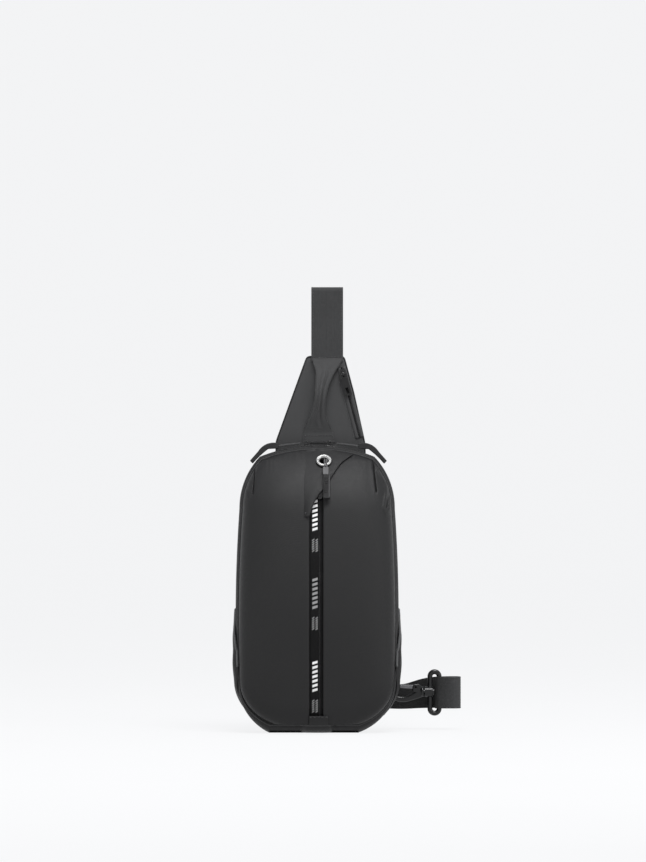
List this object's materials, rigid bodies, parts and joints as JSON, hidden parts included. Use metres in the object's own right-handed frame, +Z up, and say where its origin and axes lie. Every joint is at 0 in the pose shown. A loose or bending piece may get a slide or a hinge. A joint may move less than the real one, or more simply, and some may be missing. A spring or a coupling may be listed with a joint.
{
  "type": "sling bag",
  "caption": "Slim one-shoulder sling bag with domed front, vertical front zip, arched main zip, yoke with grab handle, webbing strap and snap hook.",
  "frame": {"origin": "centre of the flat base that the bag stands on", "axes": "+Z up, -Y the front of the bag, +X to the right as the front is seen"},
  "size_m": [0.2732, 0.1175, 0.53],
  "materials": {
    "coated_cloth": "matte coated woven cloth",
    "yoke_cloth": "matte coated woven cloth",
    "air_mesh": "spacer mesh",
    "foam": "closed-cell foam",
    "base_cloth": "coarse coated cloth",
    "lining_cloth": "light woven lining",
    "piping_cloth": "bound edge",
    "binding_tape": "folded tape",
    "printed_tape": "woven tape with a plain block print",
    "zip_tape": "woven tape",
    "zip_coil": "nylon coil",
    "strap_cloth": "folded cloth",
    "webbing": "flat woven webbing",
    "cord_cloth": "braided cord",
    "bright_metal": "polished nickel plate",
    "dark_metal": "black nickel plate",
    "gate_metal": "steel",
    "pull_rubber": "moulded soft plastic",
    "ferrule_plastic": "moulded",
    "frame_plastic": "moulded"
  },
  "bodies": {
    "root": {"back_foam_pad": "foam", "back_panel": "air_mesh", "base_panel": "base_cloth", "d_ring_tab_left": "webbing", "d_ring_tab_right": "webbing", "eyelet": "bright_metal", "eyelet_flap": "coated_cloth", "eyelet_washer": "bright_metal", "front_gusset": "coated_cloth", "front_panel_left": "coated_cloth", "front_panel_right": "coated_cloth", "front_zip_coil": "zip_coil", "front_zip_end_tab": "strap_cloth", "front_zip_tapes": "printed_tape", "grab_handle": "yoke_cloth", "handle_patch": "yoke_cloth", "hook_strap_ring": "dark_metal", "inner_pocket": "lining_cloth", "lining": "lining_cloth", "main_zip_coil": "zip_coil", "main_zip_tapes": "zip_tape", "piping_front": "piping_cloth", "piping_rear": "piping_cloth", "rear_gusset": "coated_cloth", "side_pocket_bindings": "binding_tape", "side_pocket_left": "coated_cloth", "side_pocket_right": "coated_cloth", "strap_end_loop": "webbing", "strap_end_turn": "webbing", "strap_lower_run": "webbing", "strap_rear_run": "webbing", "strap_upper_run": "webbing", "yoke_back_panel": "air_mesh", "yoke_foam": "foam", "yoke_front_panel": "yoke_cloth", "yoke_zip_coil": "zip_coil", "yoke_zip_tape": "zip_tape"},
    "left_slider": {"main_slider_left": "dark_metal"},
    "left_pull": {"main_pull_link_left": "dark_metal", "main_pull_strap_left": "webbing", "main_pull_tab_left": "pull_rubber"},
    "right_slider": {"main_slider_right": "dark_metal"},
    "right_pull": {"main_pull_link_right": "dark_metal", "main_pull_strap_right": "webbing", "main_pull_tab_right": "pull_rubber"},
    "pocket_slider": {"front_slider": "dark_metal"},
    "pocket_pull": {"front_pull_cord": "cord_cloth", "front_pull_ferrule": "ferrule_plastic", "front_pull_tab": "pull_rubber"},
    "small_slider": {"yoke_slider": "dark_metal"},
    "small_pull": {"yoke_pull_link": "dark_metal", "yoke_pull_tab": "pull_rubber"},
    "hook": {"hook_body": "dark_metal", "swivel_stud": "dark_metal", "gate_pin": "gate_metal", "gate_spring": "gate_metal"},
    "gate": {"hook_gate": "gate_metal"},
    "right_ring": {"d_ring_right": "dark_metal"},
    "left_ring": {"d_ring_left": "dark_metal"},
    "adjuster": {"strap_adjuster": "frame_plastic"}
  },
  "joints": [
    {"name": "left_slider_travel", "type": "hinge", "parent": "root", "child": "left_slider", "pos_m": [0, 0.026, 0.16], "axis": [0, -1, 0], "range_deg": [0, 15]},
    {"name": "left_pull_swing", "type": "hinge", "parent": "left_slider", "child": "left_pull", "pos_m": [-0.01223, 0.026, 0.34309], "axis": [0, 1, 0], "range_deg": [0, 85]},
    {"name": "right_slider_travel", "type": "hinge", "parent": "root", "child": "right_slider", "pos_m": [0, 0.026, 0.16], "axis": [0, 1, 0], "range_deg": [0, 15]},
    {"name": "right_pull_swing", "type": "hinge", "parent": "right_slider", "child": "right_pull", "pos_m": [0.01529, 0.026, 0.34286], "axis": [0, -1, 0], "range_deg": [0, 85]},
    {"name": "front_slider_travel", "type": "hinge", "parent": "root", "child": "pocket_slider", "pos_m": [-0.001, 0.554, 0.125], "axis": [1, 0, 0], "range_deg": [0, 23]},
    {"name": "front_pull_swing", "type": "hinge", "parent": "root", "child": "pocket_pull", "pos_m": [0.008, -0.00207, 0.32319], "axis": [-1, 0, 0], "range_deg": [0, 75]},
    {"name": "yoke_slider_travel", "type": "slide", "parent": "root", "child": "small_slider", "axis": [0.2534, 0, -0.9674], "range_m": [0, 0.06]},
    {"name": "yoke_pull_swing", "type": "hinge", "parent": "small_slider", "child": "small_pull", "pos_m": [0.03103, 0.0401, 0.42626], "axis": [-0.9674, 0, -0.2534], "range_deg": [0, 110]},
    {"name": "hook_swivel", "type": "hinge", "parent": "root", "child": "hook", "pos_m": [0.13, 0.057, 0.046], "axis": [1, 0, 0], "range_deg": [-25, 25]},
    {"name": "hook_gate_swing", "type": "hinge", "parent": "hook", "child": "gate", "pos_m": [0.118, 0.057, 0.0515], "axis": [0, -1, 0], "range_deg": [0, 25], "stiffness_Nm_per_rad": 0.02, "springref_deg": -20.05},
    {"name": "right_ring_swing", "type": "hinge", "parent": "root", "child": "right_ring", "pos_m": [0.079, 0.057, 0.0455], "axis": [0, 1, 0], "range_deg": [-2, 2]},
    {"name": "left_ring_swing", "type": "hinge", "parent": "root", "child": "left_ring", "pos_m": [-0.068, 0.049, 0.046], "axis": [0, 0, -1], "range_deg": [0, 150]},
    {"name": "adjuster_slide", "type": "slide", "parent": "root", "child": "adjuster", "axis": [0, 0, 1], "range_m": [-0.12, 0.04]}
  ]
}
